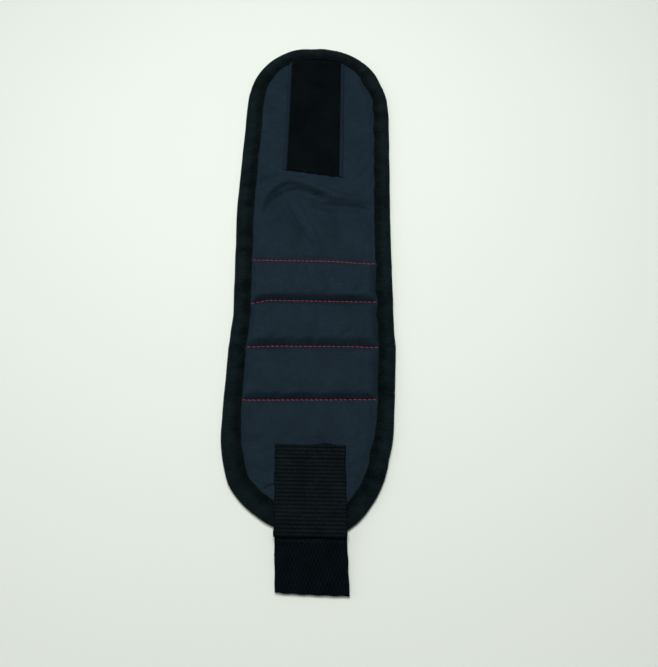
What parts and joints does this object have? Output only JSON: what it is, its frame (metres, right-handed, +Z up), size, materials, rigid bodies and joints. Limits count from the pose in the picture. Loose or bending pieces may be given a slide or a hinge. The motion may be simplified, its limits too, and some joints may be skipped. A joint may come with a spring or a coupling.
{
  "type": "magnetic wrist pin holder",
  "caption": "Flat fabric wristband with stitched magnetic channels for pins and a hook and loop strap closure.",
  "frame": {"origin": "middle of the overall length and width, on the surface the band lies on", "axes": "+X across the band, +Y along it towards the loop patch end, +Z up, away from the wrist side"},
  "size_m": [0.09, 0.342, 0.0064],
  "materials": {
    "shell_cloth": "navy plain weave, foam backed",
    "lining_mesh": "black open mesh knit",
    "binding_tape": "black ribbed tape",
    "pad_foam": "soft open foam",
    "magnet": "nickel plated block",
    "loop_pile": "black looped pile",
    "strap_webbing": "black coarse woven tape",
    "hook_tape_back": "black fine woven tape",
    "hooks": "stiff nylon hooks",
    "red_thread": "twisted thread",
    "black_thread": "twisted thread"
  },
  "bodies": {
    "flap_1": {"binding_flap_1": "binding_tape", "lining_flap_1": "lining_mesh", "loop_patch_1": "loop_pile", "shell_flap_1": "shell_cloth"},
    "flap_2": {"binding_left_flap_2": "binding_tape", "binding_right_flap_2": "binding_tape", "lining_flap_2": "lining_mesh", "loop_patch_2": "loop_pile", "shell_flap_2": "shell_cloth"},
    "flap_3": {"binding_left_flap_3": "binding_tape", "binding_right_flap_3": "binding_tape", "lining_flap_3": "lining_mesh", "loop_patch_3": "loop_pile", "shell_flap_3": "shell_cloth"},
    "flap_4": {"binding_left_flap_4": "binding_tape", "binding_right_flap_4": "binding_tape", "lining_flap_4": "lining_mesh", "shell_flap_4": "shell_cloth"},
    "flap_5": {"binding_left_flap_5": "binding_tape", "binding_right_flap_5": "binding_tape", "lining_flap_5": "lining_mesh", "shell_flap_5": "shell_cloth"},
    "channel_1": {"binding_left_channel_1": "binding_tape", "binding_right_channel_1": "binding_tape", "lining_channel_1": "lining_mesh", "magnets_channel_1": "magnet", "pad_channel_1": "pad_foam", "row_stitching_1": "red_thread", "shell_channel_1": "shell_cloth"},
    "channel_2": {"binding_left_channel_2": "binding_tape", "binding_right_channel_2": "binding_tape", "lining_channel_2": "lining_mesh", "magnets_channel_2": "magnet", "pad_channel_2": "pad_foam", "row_stitching_2": "red_thread", "shell_channel_2": "shell_cloth"},
    "channel_3": {"binding_left_channel_3": "binding_tape", "binding_right_channel_3": "binding_tape", "lining_channel_3": "lining_mesh", "magnets_channel_3": "magnet", "pad_channel_3": "pad_foam", "row_stitching_3": "red_thread", "row_stitching_4": "red_thread", "shell_channel_3": "shell_cloth"},
    "base_1": {"binding_left_base_1": "binding_tape", "binding_right_base_1": "binding_tape", "lining_base_1": "lining_mesh", "shell_base_1": "shell_cloth", "strap_stitching_upper": "black_thread", "webbing_1": "strap_webbing"},
    "base_2": {"binding_base_2": "binding_tape", "hook_tape_root": "hook_tape_back", "lining_base_2": "lining_mesh", "shell_base_2": "shell_cloth", "strap_stitching_lower": "black_thread", "webbing_2": "strap_webbing"},
    "tail": {"hook_field": "hooks", "hook_tape_tail": "hook_tape_back"}
  },
  "joints": [
    {"name": "row_2_bend", "type": "hinge", "parent": "channel_2", "child": "channel_1", "pos_m": [0, -0.015, 0.0017], "axis": [-1, 0, 0], "range_deg": [-25, 37]},
    {"name": "row_1_bend", "type": "hinge", "parent": "channel_1", "child": "flap_5", "pos_m": [0, 0.0106, 0.0017], "axis": [-1, 0, 0], "range_deg": [-25, 40]},
    {"name": "flap_bend_4", "type": "hinge", "parent": "flap_5", "child": "flap_4", "pos_m": [0, 0.041, 0.0017], "axis": [-1, 0, 0], "range_deg": [-13, 45.5]},
    {"name": "flap_bend_3", "type": "hinge", "parent": "flap_4", "child": "flap_3", "pos_m": [0, 0.071, 0.0017], "axis": [-1, 0, 0], "range_deg": [-15, 53]},
    {"name": "flap_bend_2", "type": "hinge", "parent": "flap_3", "child": "flap_2", "pos_m": [0, 0.109, 0.0017], "axis": [-1, 0, 0], "range_deg": [-15, 53]},
    {"name": "flap_bend_1", "type": "hinge", "parent": "flap_2", "child": "flap_1", "pos_m": [0, 0.141, 0.0017], "axis": [-1, 0, 0], "range_deg": [-14, 48]},
    {"name": "row_3_bend", "type": "hinge", "parent": "channel_2", "child": "channel_3", "pos_m": [0, -0.0426, 0.0017], "axis": [1, 0, 0], "range_deg": [-25, 40]},
    {"name": "row_4_bend", "type": "hinge", "parent": "channel_3", "child": "base_1", "pos_m": [0, -0.0733, 0.0017], "axis": [1, 0, 0], "range_deg": [-25, 43]},
    {"name": "base_bend", "type": "hinge", "parent": "base_1", "child": "base_2", "pos_m": [0, -0.108, 0.0017], "axis": [1, 0, 0], "range_deg": [-15, 54]},
    {"name": "tail_bend", "type": "hinge", "parent": "base_2", "child": "tail", "pos_m": [0.0032, -0.1449, 0.00275], "axis": [1, 0, 0], "range_deg": [-70, 47]}
  ],
  "couplings": [
    {"joint": "flap_bend_2", "follows": "flap_bend_3", "ratio": 1},
    {"joint": "flap_bend_1", "follows": "flap_bend_3", "ratio": 0.9},
    {"joint": "flap_bend_4", "follows": "flap_bend_3", "ratio": 0.85}
  ]
}
